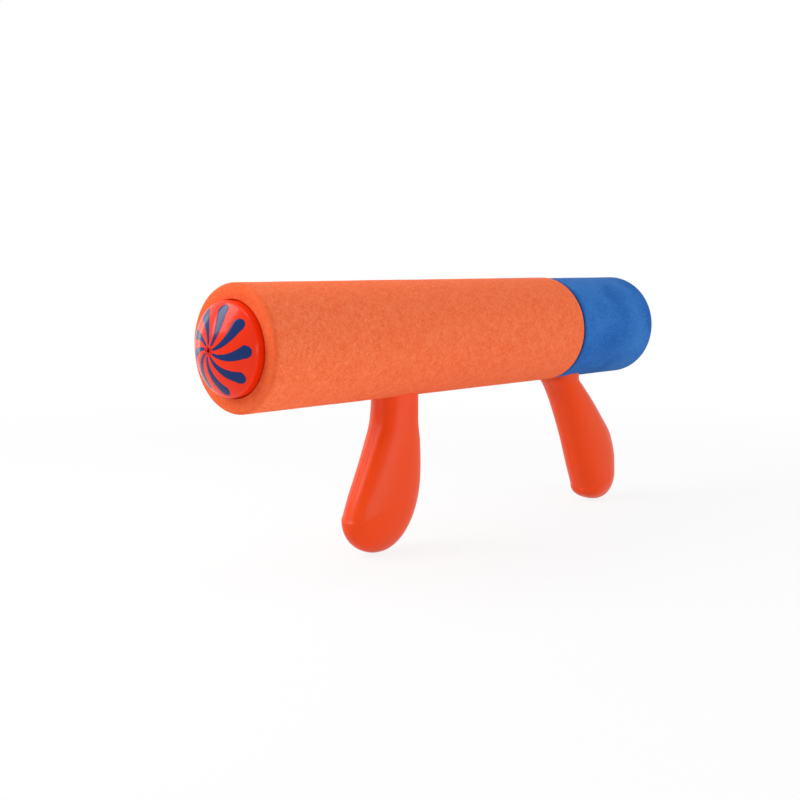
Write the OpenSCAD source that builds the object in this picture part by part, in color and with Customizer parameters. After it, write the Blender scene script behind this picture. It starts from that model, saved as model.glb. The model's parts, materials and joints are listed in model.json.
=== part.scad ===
// Pump-action water squirter. A foam sleeve covers the barrel tube, which has a domed
// nozzle at the front and a fixed front handle. A plunger with a foam grip and its own
// handle slides out at the rear. The origin is the mouth of the nozzle, +X is the way
// that the water leaves, and +Z is up. All lengths are in millimetres.

/* [Foam] */
// Wall of the barrel's foam sleeve
sleeve_wall = 10.5; // [9:0.5:16]
// Length of the barrel's foam sleeve
sleeve_length = 246.5; // [215:0.5:300]
// Rounding of the sleeve's front rim
sleeve_rim_r = 2.5; // [1:0.5:5]
// Rounding of the sleeve's rear rim
sleeve_rear_r = 1; // [0.5:0.5:4]
// Wall of the plunger's foam grip
grip_wall = 10.1; // [8.5:0.1:16]
// Length of the plunger's foam grip
grip_length = 79; // [72:1:120]
// Rounding of the grip's rear rim
grip_rim_r = 6; // [1:0.5:6]
// Rounding of the grip's front rim
grip_front_r = 1; // [0.5:0.5:4]
// Gap between the two foam pieces when the plunger is pushed in
foam_gap = 1.8; // [0.6:0.1:2.4]

/* [Nozzle] */
// Wall of the cap's skirt round the barrel tube
cap_skirt = 1.9; // [1.6:0.1:3]
// Height of the cap above the foam
cap_height = 14.5; // [13:0.5:18]
// Height of the dome over the full width of the cap
dome_rise = 10.3; // [8:0.1:12]
// Rounding between the dome and the cap's side
shoulder_r = 3; // [1:0.5:4]
// Wall of the cap's dome
cap_wall = 2.4; // [1.6:0.2:2.8]
// Length of the cap's socket behind the foam's face
cap_socket = 12; // [8:1:20]
// Diameter of the jet bush at the middle of the dome
jet_d = 4.6; // [4:0.2:7]
// Bore of the jet
jet_bore_d = 2; // [1:0.5:3]
// Length of the jet's bore
jet_length = 8; // [6:0.5:9]
// Number of blue petals round the jet
petal_count = 9; // [6:1:12]
// Width of a petal near its tip
petal_w = 6.4; // [4:0.2:8]
// Distance from the petal tips to the edge of the dome
petal_margin = 0.8; // [0.2:0.2:4]
// Turn of a petal from its root to its tip, in degrees
petal_turn = 30; // [0:1:45]
// Depth of the petals in the dome
petal_depth = 0.8; // [0.4:0.2:1.2]

/* [Barrel] */
// Outer diameter of the barrel tube and of the grip core
tube_d = 43; // [36:0.5:52]
// Wall of the barrel tube and of the grip core
tube_wall = 2.5; // [2:0.25:3]
// Length of the rear guide's plug in the tube
guide_length = 12; // [9:1:20]
// Thickness of the guide's flange
guide_flange_t = 3; // [2:0.5:5]
// Thickness of the soft ring that stops the piston
stop_t = 4; // [2:0.5:8]

/* [Plunger] */
// Length of the piston
piston_length = 16; // [14:1:24]
// Gap between the plunger rod's ribs and the bore of the tube
rod_gap = 6; // [5:0.5:8]
// Thickness of the rod's four ribs
rod_rib_t = 3; // [2:0.5:4]
// Diameter of the rod's round core
rod_core_d = 11; // [10:0.5:13]
// Depth of the rod's socket in the grip core
socket_depth = 22; // [16:1:30]

/* [Handles] */
// How far the handles reach below the barrel's foam
handle_reach = 85; // [80:1:110]
// Width of a handle from side to side
handle_w = 25; // [22:0.5:28]
// Wall of the handle shells
handle_wall = 2.4; // [1.8:0.2:2.8]
// Greatest depth of the front handle, front to back
front_depth = 46; // [45:1:56]
// Greatest depth of the rear handle, front to back
rear_depth = 43; // [42:1:50]
// Height of the rounded end at the front of the front handle
front_toe_h = 20; // [16:0.5:26]
// Height of the rounded end at the rear of the front handle
front_heel_h = 46; // [30:1:50]
// Height of the rounded end at the front of the rear handle
rear_toe_h = 9; // [8:0.5:16]
// Height of the rounded end at the rear of the rear handle
rear_heel_h = 20; // [14:1:26]
// Distance from the front of the foam to the front handle's stem
front_stem_setback = 112; // [90:1:130]
// Distance from the front of the grip to the rear handle's stem
rear_stem_setback = 16.5; // [16:0.5:30]
// How far the lip at the front of the front handle's end stands out
front_lip_h = 0.6; // [0.2:0.2:2]
// How far the lip at the front of the rear handle's end stands out
rear_lip_h = 0.2; // [0.2:0.2:2]

/* [Hidden] */
$fn = 64;

// Colours as the photograph shows them; the inner pieces are plain
foam_orange = "#ee7247";
foam_blue = "#2d64ad";
shell_orange = "#e84e25";
cap_red = "#e4300f";
jet_red = "#ca1414";
petal_blue = "#1d3468";
tube_white = "#e9e9e4";
rubber_black = "#222222";
steel_grey = "#b4b8bc";

// Clearances: pieces that are glued, pieces that slide, screws in holes, handles in the foam
glue_fit = 0.1;
slide_fit = 0.3;
screw_fit = 0.1;
foam_fit = 0.3;
// How far each cut runs past the face that it opens
overrun = 2;
// Straight steps in a rounded rim, a petal's side, a petal's tip, half a handle and its end
rim_steps = 6;
petal_steps = 8;
tip_steps = 8;
side_steps = 12;
drop_steps = 12;
end_steps = 6;

// Radii of the barrel and places along it
tube_r = tube_d / 2;
bore_r = tube_r - tube_wall;
flange_r = tube_r + tube_wall;
sleeve_r = tube_r + sleeve_wall;
cap_r = tube_r + glue_fit + cap_skirt;
sleeve_front = -cap_height;
sleeve_rear = sleeve_front - sleeve_length;
cap_back = sleeve_front - cap_socket;

// The tube's gasket bears on a step in the cap, this far behind the dome's face
dome_r = (cap_r ^ 2 + dome_rise ^ 2) / (2 * dome_rise);
seat_wall = 2.6;
gasket_t = 1.5;
cap_seat = sqrt(dome_r ^ 2 - (tube_r + glue_fit) ^ 2) - dome_r - seat_wall;
tube_front = cap_seat - gasket_t;
tube_rear = sleeve_rear + guide_flange_t;

// The cap's shoulder is an arc that touches both the dome and the side
shoulder_x = sqrt((dome_r - shoulder_r) ^ 2 - (cap_r - shoulder_r) ^ 2) - dome_r;
shoulder_touch_r = (cap_r - shoulder_r) * dome_r / (dome_r - shoulder_r);

// The jet's collar bears on the inside of the dome
jet_r = jet_d / 2;
jet_bore_r = jet_bore_d / 2;
jet_collar_r = 5.5;
jet_collar_t = 1.5;
jet_seat = sqrt((dome_r - cap_wall) ^ 2 - jet_collar_r ^ 2) - dome_r;

// A petal starts as a point just outside the jet and swells towards its round tip
petal_root_gap = 0.5;
petal_root_w = 1.1;
petal_root = jet_r + petal_root_gap;
petal_reach = shoulder_touch_r - petal_margin;
petal_fit = 0.05;
// Turn of the whole set of petals, in degrees
petal_phase = 0;
// The petal's side swells by this power of the way along it
petal_swell_power = 1.2;

// Piston, guide and stroke
piston_setback = 4;
piston_front = tube_front - piston_setback;
piston_rear = piston_front - piston_length;
piston_gap = 0.4;
ring_gap = 0.25;
ring_r = 1.4;
ring_groove_gap = 0.15;
ring_edge = 2.6;
piston_r = bore_r - piston_gap;
ring_mid_r = bore_r - ring_gap - ring_r;
washer_r = 9;
washer_t = 2;
bolt_r = 2.5;
bolt_head_r = 4.5;
bolt_head_h = 3;
bolt_grip = 20;
guide_front = tube_rear + guide_length;
stop_front = guide_front + stop_t;
stop_gap = 0.5;
stroke = piston_rear - stop_front - stop_gap;
echo(plunger_travel = stroke);
rod_span = 2 * (bore_r - rod_gap);
rod_hole_gap = 1.5;

// Countersunk screws that hold the guide in the tube
guide_screw_count = 3;
guide_screw_turn = 45;
guide_screw_r = 1.4;
guide_screw_head_r = 2.7;
guide_screw_head_h = 1.6;
guide_screw_length = 6;

// Plunger grip
grip_r = tube_r + grip_wall;
grip_front = sleeve_rear - foam_gap;
grip_rear = grip_front - grip_length;
core_gap = 0.5;
core_front = sleeve_rear - core_gap;
core_plate_t = 3;
end_proud = 0.3;
end_face = grip_rear - end_proud;
end_flange_t = 3;
end_plug = 10;
core_rear = end_face + end_flange_t;
rod_rear = core_front - socket_depth;
socket_r = rod_span / 2 + tube_wall;
socket_floor = 2;
pin_r = 2;
pin_share = 0.5;

// Brackets: a ring round the tube with a tongue that the handle shells close on
bracket_length = 24;
bracket_wall = 3;
bracket_r = tube_r + bracket_wall;
tongue_depth = 10;
tongue_neck = 3;
tongue_w = 12;
tongue_end_share = 0.3;
stem_gap = 0.5;
stem_top = bracket_r + stem_gap;
handle_drop = sleeve_r + handle_reach;
front_stem_x = sleeve_front - front_stem_setback;
rear_stem_x = grip_front - rear_stem_setback;

// Handle sections are rounded ovals of this power
oval_power = 2.4;
ledge_t = 0.6;
// Rows of a handle's side view: way down from the foam to the end as a share, then the
// front and rear edges as shares of the depth, counted from the middle of the stem
front_edge_shares = [
    [-0.10, 0.265, -0.265], [0.01, 0.265, -0.265], [0.147, 0.295, -0.27], [0.312, 0.42, -0.325],
    [0.477, 0.565, -0.345], [0.628, 0.705, -0.345], [0.78, 0.82, -0.345]
];
rear_edge_shares = [
    [-0.08, 0.25, -0.25], [0.012, 0.25, -0.25], [0.066, 0.175, -0.355], [0.16, 0.07, -0.57],
    [0.323, -0.075, -0.90], [0.499, -0.22, -1.20], [0.689, -0.37, -1.315], [0.905, -0.575, -1.315]
];
// Place of the lowest point between the front and the rear of the end
front_pole_share = 0.45;
rear_pole_share = 0.6;
// Rows, depth, toe height, heel height, place of the lowest point, lip and foam of each handle
front_shape =
    [front_edge_shares, front_depth, front_toe_h, front_heel_h, front_pole_share, front_lip_h, sleeve_r];
rear_shape =
    [rear_edge_shares, rear_depth, rear_toe_h, rear_heel_h, rear_pole_share, rear_lip_h, grip_r];

// Handle screws: two through each handle, from the right
screw_drop_shares = [0.19, 0.68];
screw_r = 1.5;
screw_head_r = 2.9;
screw_head_h = 2.2;
screw_length = 17;
screw_web = 1.6;
boss_r = 4.6;
boss_back = handle_w / 2 - handle_wall / 2;
boss_starts = [tongue_w / 2 + glue_fit, 0];
head_seat = tongue_w / 2 + screw_web;
screw_tip = screw_length - head_seat;
// Cross recess of the screw heads
recess_w = 0.8;
recess_depth = 1.2;
recess_share = 0.62;

// Smooth curve through the rows of a table, at u in the first column, steady where they are
function row_rise(rows, k, c) = (rows[k + 1][c] - rows[k][c]) / (rows[k + 1][0] - rows[k][0]);
function row_slope(rows, k, c) =
    k == 0 ? row_rise(rows, 0, c) :
    k == len(rows) - 1 ? row_rise(rows, k - 1, c) :
    let (before = row_rise(rows, k - 1, c), after = row_rise(rows, k, c))
    before * after > 0 ? 2 * before * after / (before + after) : 0;
function row_at(rows, u, c, k = 0) =
    k < len(rows) - 2 && u > rows[k + 1][0] ? row_at(rows, u, c, k + 1) :
    let (
        h = rows[k + 1][0] - rows[k][0],
        s = min(max((u - rows[k][0]) / h, 0), 1),
        rise = s * s * (3 - 2 * s)
    )
    rows[k][c] * (1 - rise) + rows[k + 1][c] * rise
    + h * row_slope(rows, k, c) * s * (1 - s) ^ 2
    - h * row_slope(rows, k + 1, c) * s * s * (1 - s);

// Distance below the axis and share of the way from the foam to the handle's end
function drop_at(shape, u) = shape[6] + (handle_drop - shape[6]) * u;
function share_at(shape, z) = (z - shape[6]) / (handle_drop - shape[6]);

// Front edge, rear edge and middle of a handle at a share of that way
function front_edge(shape, u) = shape[1] * row_at(shape[0], u, 1);
function rear_edge(shape, u) = shape[1] * row_at(shape[0], u, 2);
function middle(shape, u) = (front_edge(shape, u) + rear_edge(shape, u)) / 2;
function oval(v) = sign(v) * abs(v) ^ (2 / oval_power);

// Half an oval, drawn in by inset, at a way s from the stem's top to the edge of the rounded end
function half_ring(shape, s, inset) =
    [for (j = [0 : side_steps]) let (
        t = 180 * j / side_steps,
        end_h = (shape[2] * (1 + cos(t)) + shape[3] * (1 - cos(t))) / 2,
        z = stem_top + (handle_drop - end_h - stem_top) * s,
        u = share_at(shape, z),
        a = (front_edge(shape, u) - rear_edge(shape, u)) / 2 - inset,
        b = handle_w / 2 - inset
    )
        [middle(shape, u) + a * oval(cos(t)), b * oval(sin(t)), -z]];

// The end's edge stands out at the front by lip, and the end closes from it to a lowest point
function lip_ring(ring, lip) =
    [for (j = [0 : side_steps]) ring[j] + [lip * max(cos(180 * j / side_steps), 0), 0, -ledge_t]];
function shell_pole(shape, inset) =
    let (edge = half_ring(shape, 1, inset))
    [edge[0][0] + (edge[side_steps][0] - edge[0][0]) * shape[4], 0, inset - handle_drop];
function end_ring(ring, pole, t) =
    [for (p = ring) [pole[0] + (p[0] - pole[0]) * cos(t), p[1] * cos(t), p[2] + (pole[2] - p[2]) * sin(t)]];

// Rings of points from the stem's top down to the rounded end, without its pole
function shell_rings(shape, inset, lip) =
    let (edge = lip_ring(half_ring(shape, 1, inset), lip))
    concat(
        [for (k = [0 : drop_steps]) half_ring(shape, k / drop_steps, inset)],
        [for (k = [0 : end_steps - 1]) end_ring(edge, shell_pole(shape, inset), 90 * k / end_steps)]
    );

function arc(c, r, from, to) =
    [for (k = [0 : rim_steps]) let (a = from + (to - from) * k / rim_steps) c + r * [cos(a), sin(a)]];

// Points of one petal seen from the front, grown by fit all round
function petal_at(s, side, fit) =
    let (
        r_end = petal_reach - petal_w / 2,
        r = petal_root + (r_end - petal_root) * s,
        half = (petal_root_w + (petal_w - petal_root_w) * s ^ petal_swell_power) / 2 + fit,
        a = -petal_turn * (1 - s)
    )
    r * [cos(a), sin(a)] + side * half * [-sin(a), cos(a)];
function petal_points(fit) = concat(
    [for (k = [0 : petal_steps]) petal_at(k / petal_steps, -1, fit)],
    [for (k = [1 : tip_steps - 1]) let (t = 180 * k / tip_steps - 90)
        [petal_reach - petal_w / 2, 0] + (petal_w / 2 + fit) * [cos(t), sin(t)]],
    [for (k = [petal_steps : -1 : 0]) petal_at(k / petal_steps, 1, fit)]
);

// A round bar along the barrel's axis, and a turned outline of radius and place along X
module bar_x(from, to, r) {
    translate([min(from, to), 0, 0]) rotate([0, 90, 0]) cylinder(h = abs(to - from), r = r);
}
module turned_x() {
    rotate([0, 90, 0]) rotate_extrude() children();
}
module bar_y(from, to, r) {
    translate([0, from, 0]) rotate([-90, 0, 0]) cylinder(h = to - from, r = r);
}

// Outline of a foam roll with rounded rims
module roll_outline(front, rear, r, front_r, rear_r) {
    polygon(concat(
        [[0, rear]],
        arc([r - rear_r, rear + rear_r], rear_r, -90, 0),
        arc([r - front_r, front - front_r], front_r, 0, 90),
        [[0, front]]
    ));
}

// The hole that a handle's stem needs in the foam
module stem_hole(shape, r) {
    half = half_ring(shape, 0, -foam_fit);
    both = concat([for (p = half) [p[0], p[1]]],
        [for (k = [side_steps - 1 : -1 : 1]) [half[k][0], -half[k][1]]]);
    translate([0, 0, -r - overrun]) linear_extrude(r + overrun - bore_r) polygon(both);
}

module sleeve_foam() {
    color(foam_orange) difference() {
        turned_x() roll_outline(sleeve_front, sleeve_rear, sleeve_r, sleeve_rim_r, sleeve_rear_r);
        bar_x(sleeve_front + overrun, sleeve_rear - overrun, tube_r + foam_fit);
        bar_x(sleeve_front + overrun, cap_back - foam_fit, cap_r + foam_fit);
        bar_x(sleeve_rear + guide_flange_t + foam_fit, sleeve_rear - overrun, flange_r + foam_fit);
        bar_x(front_stem_x - bracket_length / 2 - foam_fit, front_stem_x + bracket_length / 2 + foam_fit,
            bracket_r + foam_fit);
        translate([front_stem_x, 0, 0]) stem_hole(front_shape, sleeve_r);
    }
}

module grip_foam() {
    color(foam_blue) difference() {
        turned_x() roll_outline(grip_front, grip_rear, grip_r, grip_front_r, grip_rim_r);
        bar_x(grip_front + overrun, grip_rear - overrun, tube_r + foam_fit);
        bar_x(grip_front + overrun, core_front - core_plate_t - foam_fit, flange_r + foam_fit);
        bar_x(core_rear + foam_fit, grip_rear - overrun, flange_r + foam_fit);
        bar_x(rear_stem_x - bracket_length / 2 - foam_fit, rear_stem_x + bracket_length / 2 + foam_fit,
            bracket_r + foam_fit);
        translate([rear_stem_x, 0, 0]) stem_hole(rear_shape, grip_r);
    }
}

// Nozzle
module cap_outline() {
    intersection() {
        translate([0, -dome_r]) circle(dome_r);
        union() {
            translate([0, cap_back]) square([shoulder_touch_r, -cap_back]);
            translate([0, cap_back]) square([cap_r, shoulder_x - cap_back]);
            translate([cap_r - shoulder_r, shoulder_x]) circle(shoulder_r);
        }
    }
}
// A ball at the dome's centre, turned so that its seam is at the back
module dome_ball(r) {
    translate([-dome_r, 0, 0]) rotate([0, 0, 180]) sphere(r);
}
module petals(fit, depth, above) {
    intersection() {
        for (k = [0 : petal_count - 1]) {
            rotate([petal_phase + 360 * k / petal_count, 0, 0])
                rotate([90, 0, 90])
                    translate([0, 0, -dome_r]) linear_extrude(dome_r + overrun) polygon(petal_points(fit));
        }
        difference() {
            dome_ball(dome_r + above);
            dome_ball(dome_r - depth);
        }
    }
}
module nozzle_cap() {
    color(cap_red) difference() {
        turned_x() cap_outline();
        bar_x(cap_back - overrun, cap_seat, tube_r + glue_fit);
        intersection() {
            dome_ball(dome_r - cap_wall);
            bar_x(cap_back, 0, bore_r);
        }
        bar_x(-dome_r, overrun, jet_r + glue_fit);
        petals(petal_fit, petal_depth + petal_fit, overrun);
    }
}
module nozzle_petals() {
    color(petal_blue) petals(0, petal_depth, 0);
}
module nozzle_jet() {
    color(jet_red) difference() {
        union() {
            bar_x(-jet_length, 0, jet_r);
            bar_x(jet_seat - jet_collar_t, jet_seat, jet_collar_r);
        }
        bar_x(-jet_length - overrun, overrun, jet_bore_r);
    }
}
module nozzle_gasket() {
    color(rubber_black) difference() {
        bar_x(tube_front, cap_seat, tube_r);
        bar_x(tube_front - overrun, cap_seat + overrun, bore_r);
    }
}

// Barrel tube, rear guide and the soft stop
module guide_screw_places() {
    for (k = [0 : guide_screw_count - 1]) {
        rotate([guide_screw_turn + 360 * k / guide_screw_count, 0, 0])
            translate([(tube_rear + guide_front) / 2, 0, tube_r - guide_screw_head_h]) children();
    }
}
module guide_screw(fit, above) {
    cylinder(h = guide_screw_head_h, r1 = guide_screw_r + fit, r2 = guide_screw_head_r + fit);
    translate([0, 0, guide_screw_head_h]) cylinder(h = above, r = guide_screw_head_r + fit);
    translate([0, 0, -guide_screw_length - fit])
        cylinder(h = guide_screw_length + fit + guide_screw_head_h / 2, r = guide_screw_r + fit);
}
module barrel_tube() {
    color(tube_white) difference() {
        bar_x(tube_rear, tube_front, tube_r);
        bar_x(tube_rear - overrun, tube_front + overrun, bore_r);
        guide_screw_places() guide_screw(screw_fit, overrun);
    }
}
module rod_section(fit) {
    square([rod_span + 2 * fit, rod_rib_t + 2 * fit], center = true);
    square([rod_rib_t + 2 * fit, rod_span + 2 * fit], center = true);
    circle(rod_core_d / 2 + fit);
}
module rod_bar(from, to, fit) {
    translate([to, 0, 0]) rotate([0, 90, 0]) linear_extrude(from - to) rod_section(fit);
}
module rear_guide() {
    color(shell_orange) difference() {
        union() {
            bar_x(tube_rear, guide_front, bore_r - glue_fit);
            bar_x(sleeve_rear, tube_rear, flange_r);
        }
        rod_bar(guide_front + overrun, sleeve_rear - overrun, slide_fit);
        guide_screw_places() guide_screw(screw_fit, overrun);
    }
}
module guide_screws() {
    color(steel_grey) guide_screw_places() guide_screw(0, 0);
}
module stop_ring() {
    color(rubber_black) difference() {
        bar_x(guide_front, stop_front, bore_r - glue_fit);
        bar_x(guide_front - overrun, stop_front + overrun, rod_span / 2 + rod_hole_gap);
    }
}

// Plunger
module plunger_rod() {
    color(tube_white) difference() {
        rod_bar(piston_rear, rod_rear, 0);
        bar_x(piston_rear - bolt_grip - screw_fit, piston_rear + overrun, bolt_r + screw_fit);
        core_pin_place() bar_y(-socket_r, socket_r, pin_r + glue_fit);
    }
}
module ring_places() {
    for (x = [piston_front - ring_edge - ring_r, piston_rear + ring_edge + ring_r]) {
        translate([x, 0, 0]) children();
    }
}
module piston_head() {
    color(shell_orange) difference() {
        bar_x(piston_rear, piston_front, piston_r);
        ring_places() difference() {
            bar_x(-ring_r - ring_groove_gap, ring_r + ring_groove_gap, bore_r);
            bar_x(-ring_r - ring_groove_gap, ring_r + ring_groove_gap, ring_mid_r - ring_r - ring_groove_gap);
        }
        bar_x(piston_rear - overrun, piston_front + overrun, bolt_r + screw_fit);
    }
}
module piston_rings() {
    color(rubber_black) ring_places() turned_x() translate([ring_mid_r, 0]) circle(ring_r);
}
module piston_washer() {
    color(steel_grey) difference() {
        bar_x(piston_front, piston_front + washer_t, washer_r);
        bar_x(piston_front - overrun, piston_front + washer_t + overrun, bolt_r + screw_fit);
    }
}
module piston_bolt() {
    color(steel_grey) difference() {
        union() {
            bar_x(piston_rear - bolt_grip, piston_front + washer_t, bolt_r);
            bar_x(piston_front + washer_t, piston_front + washer_t + bolt_head_h, bolt_head_r);
        }
        translate([piston_front + washer_t + bolt_head_h, 0, 0]) rotate([0, 90, 0]) cross_recess(bolt_head_r);
    }
}
module cross_recess(head_r) {
    for (turn = [0, 90]) {
        rotate([0, 0, turn])
            translate([-head_r * recess_share, -recess_w / 2, -recess_depth])
                cube([2 * head_r * recess_share, recess_w, recess_depth + overrun]);
    }
}

// Grip core: a spool on the rod that carries the foam and the rear handle
module core_pin_place() {
    translate([core_front - socket_depth * pin_share, 0, 0]) rotate([45, 0, 0]) children();
}
module grip_core() {
    color(shell_orange) difference() {
        union() {
            bar_x(core_front - core_plate_t, core_front, flange_r);
            difference() {
                bar_x(core_rear, core_front, tube_r);
                bar_x(core_rear - overrun, core_front - core_plate_t, bore_r);
            }
            bar_x(rod_rear - socket_floor, core_front, socket_r);
        }
        rod_bar(core_front + overrun, rod_rear - glue_fit, glue_fit);
        core_pin_place() bar_y(-tube_r - overrun, tube_r + overrun, pin_r + glue_fit);
    }
}
module core_pin() {
    color(steel_grey) core_pin_place() bar_y(-socket_r, socket_r, pin_r);
}
module grip_end_cap() {
    color(shell_orange) {
        bar_x(end_face, core_rear, flange_r);
        bar_x(core_rear, core_rear + end_plug, bore_r - glue_fit);
    }
}

// Brackets and handles: a tongue runs straight down the stem, then along the handle's middle
module tongue(shape) {
    half = tongue_depth / 2;
    neck = stem_top + tongue_neck;
    end = drop_at(shape, tongue_end_share);
    screw = drop_at(shape, screw_drop_shares[0]);
    drift = middle(shape, screw_drop_shares[0]) * (end - neck) / (screw - neck);
    translate([0, tongue_w / 2, 0]) rotate([90, 0, 0]) linear_extrude(tongue_w)
        polygon([[-half, 0], [-half, -neck], [drift - half, -end], [drift + half, -end], [half, -neck], [half, 0]]);
}
module bracket(shape) {
    difference() {
        union() {
            bar_x(-bracket_length / 2, bracket_length / 2, bracket_r);
            tongue(shape);
        }
        bar_x(-bracket_length, bracket_length, tube_r + glue_fit);
        screw_place(shape, 0) bar_y(-tongue_w, tongue_w, screw_r + screw_fit);
    }
}
module screw_place(shape, k) {
    u = screw_drop_shares[k];
    translate([middle(shape, u), 0, -drop_at(shape, u)]) children();
}
// Closed half shell on the +Y side, made of an outer and an inner skin
module half_shell(shape) {
    outer = shell_rings(shape, 0, shape[5]);
    inner = shell_rings(shape, handle_wall, 0);
    n = side_steps + 1;
    count = len(outer);
    points = concat([for (ring = outer) each ring], [for (ring = inner) each ring],
        [shell_pole(shape, 0), shell_pole(shape, handle_wall)]);
    skin = count * n;
    pole = 2 * skin;
    last = count - 1;
    quads = concat(
        [for (i = [0 : last - 1], j = [0 : side_steps - 1])
            [i * n + j, i * n + j + 1, (i + 1) * n + j + 1, (i + 1) * n + j]],
        [for (i = [0 : last - 1], j = [0 : side_steps - 1])
            [skin + i * n + j + 1, skin + i * n + j, skin + (i + 1) * n + j, skin + (i + 1) * n + j + 1]],
        [for (i = [0 : last - 1]) [skin + i * n, i * n, (i + 1) * n, skin + (i + 1) * n]],
        [for (i = [0 : last - 1])
            [i * n + side_steps, skin + i * n + side_steps,
             skin + (i + 1) * n + side_steps, (i + 1) * n + side_steps]],
        [for (j = [0 : side_steps - 1]) [j + 1, j, skin + j, skin + j + 1]],
        [[skin + last * n, last * n, pole, pole + 1],
         [last * n + side_steps, skin + last * n + side_steps, pole + 1, pole]]
    );
    caps = concat(
        [for (j = [0 : side_steps - 1]) [last * n + j, last * n + j + 1, pole]],
        [for (j = [0 : side_steps - 1]) [skin + last * n + j + 1, skin + last * n + j, pole + 1]]
    );
    polyhedron(points, concat([for (q = quads) each [[q[0], q[1], q[2]], [q[0], q[2], q[3]]]], caps));
}
module handle_left(shape) {
    color(shell_orange) difference() {
        union() {
            half_shell(shape);
            for (k = [0, 1]) {
                screw_place(shape, k) bar_y(boss_starts[k], boss_back, boss_r);
            }
        }
        for (k = [0, 1]) {
            screw_place(shape, k) bar_y(-overrun, screw_tip + screw_fit, screw_r + screw_fit);
        }
    }
}
module handle_right(shape) {
    color(shell_orange) difference() {
        union() {
            mirror([0, 1, 0]) half_shell(shape);
            for (k = [0, 1]) {
                screw_place(shape, k) bar_y(-boss_back, -boss_starts[k], boss_r);
            }
        }
        for (k = [0, 1]) {
            screw_place(shape, k) bar_y(-handle_w, overrun, screw_r + screw_fit);
            screw_place(shape, k) bar_y(-handle_w, -head_seat, screw_head_r + screw_fit);
        }
    }
}
module handle_screws(shape) {
    color(steel_grey) for (k = [0, 1]) {
        screw_place(shape, k) difference() {
            union() {
                bar_y(-head_seat, screw_tip, screw_r);
                bar_y(-head_seat - screw_head_h, -head_seat, screw_head_r);
            }
            translate([0, -head_seat - screw_head_h, 0]) rotate([90, 0, 0]) cross_recess(screw_head_r);
        }
    }
}
module front_bracket() {
    color(tube_white) translate([front_stem_x, 0, 0]) bracket(front_shape);
}
module front_handle_left() {
    translate([front_stem_x, 0, 0]) handle_left(front_shape);
}
module front_handle_right() {
    translate([front_stem_x, 0, 0]) handle_right(front_shape);
}
module front_handle_screws() {
    translate([front_stem_x, 0, 0]) handle_screws(front_shape);
}
module rear_bracket() {
    color(tube_white) translate([rear_stem_x, 0, 0]) bracket(rear_shape);
}
module rear_handle_left() {
    translate([rear_stem_x, 0, 0]) handle_left(rear_shape);
}
module rear_handle_right() {
    translate([rear_stem_x, 0, 0]) handle_right(rear_shape);
}
module rear_handle_screws() {
    translate([rear_stem_x, 0, 0]) handle_screws(rear_shape);
}

sleeve_foam();
barrel_tube();
nozzle_cap();
nozzle_petals();
nozzle_jet();
nozzle_gasket();
front_bracket();
front_handle_left();
front_handle_right();
front_handle_screws();
rear_guide();
guide_screws();
stop_ring();
plunger_rod();
piston_head();
piston_rings();
piston_washer();
piston_bolt();
grip_core();
core_pin();
grip_foam();
grip_end_cap();
rear_bracket();
rear_handle_left();
rear_handle_right();
rear_handle_screws();
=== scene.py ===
import json
import math
import bmesh
import bpy
from mathutils import Matrix, Vector, noise


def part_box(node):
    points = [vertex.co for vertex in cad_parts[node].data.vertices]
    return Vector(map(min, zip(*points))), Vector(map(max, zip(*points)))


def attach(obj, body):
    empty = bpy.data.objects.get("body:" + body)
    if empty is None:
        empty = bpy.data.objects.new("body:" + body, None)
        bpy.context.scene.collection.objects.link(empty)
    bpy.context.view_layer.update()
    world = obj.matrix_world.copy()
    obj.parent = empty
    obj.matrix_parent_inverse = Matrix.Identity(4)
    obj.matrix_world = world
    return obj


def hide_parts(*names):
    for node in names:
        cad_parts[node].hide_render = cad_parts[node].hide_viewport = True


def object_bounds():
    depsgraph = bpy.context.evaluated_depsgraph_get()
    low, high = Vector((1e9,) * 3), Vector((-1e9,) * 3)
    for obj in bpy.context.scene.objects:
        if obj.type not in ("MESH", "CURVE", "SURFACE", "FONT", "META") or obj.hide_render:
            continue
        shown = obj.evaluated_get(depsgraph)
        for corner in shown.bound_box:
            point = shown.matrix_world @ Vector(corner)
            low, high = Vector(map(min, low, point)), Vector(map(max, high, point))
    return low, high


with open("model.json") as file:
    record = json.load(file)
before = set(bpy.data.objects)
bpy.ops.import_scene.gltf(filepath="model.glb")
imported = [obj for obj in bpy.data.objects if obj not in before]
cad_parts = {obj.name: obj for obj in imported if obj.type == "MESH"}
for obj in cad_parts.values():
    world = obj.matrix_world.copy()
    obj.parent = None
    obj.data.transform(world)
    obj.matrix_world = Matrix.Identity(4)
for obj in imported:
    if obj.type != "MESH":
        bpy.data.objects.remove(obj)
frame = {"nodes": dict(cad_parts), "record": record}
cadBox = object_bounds()
mm = 0.001
print("frame loaded with", len(frame["nodes"]), "nodes")


# What all meshes share: degrees, metres and counts
meshing = {"sharpAngle": 32, "weld": 1e-7, "sliver": 2e-6, "roundSteps": 6, "barSides": 40,
           "around": 128}


def plainObject(name, bm):
    mesh = bpy.data.meshes.new(name)
    bm.to_mesh(mesh)
    bm.free()
    thing = bpy.data.objects.new(name, mesh)
    bpy.context.scene.collection.objects.link(thing)
    return thing


# A bmesh as a piece that rides on a body in place of a CAD node
def newPiece(name, bm, body, slot, node):
    piece = plainObject(name, bm)
    piece.data.materials.append(finishes[slot])
    smoothFaces(piece)
    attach(piece, body)
    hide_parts(node)
    return piece


def smoothFaces(piece, sharpAngle=meshing["sharpAngle"]):
    piece.data.shade_smooth()
    piece.data.set_sharp_from_angle(angle=math.radians(sharpAngle))


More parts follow.
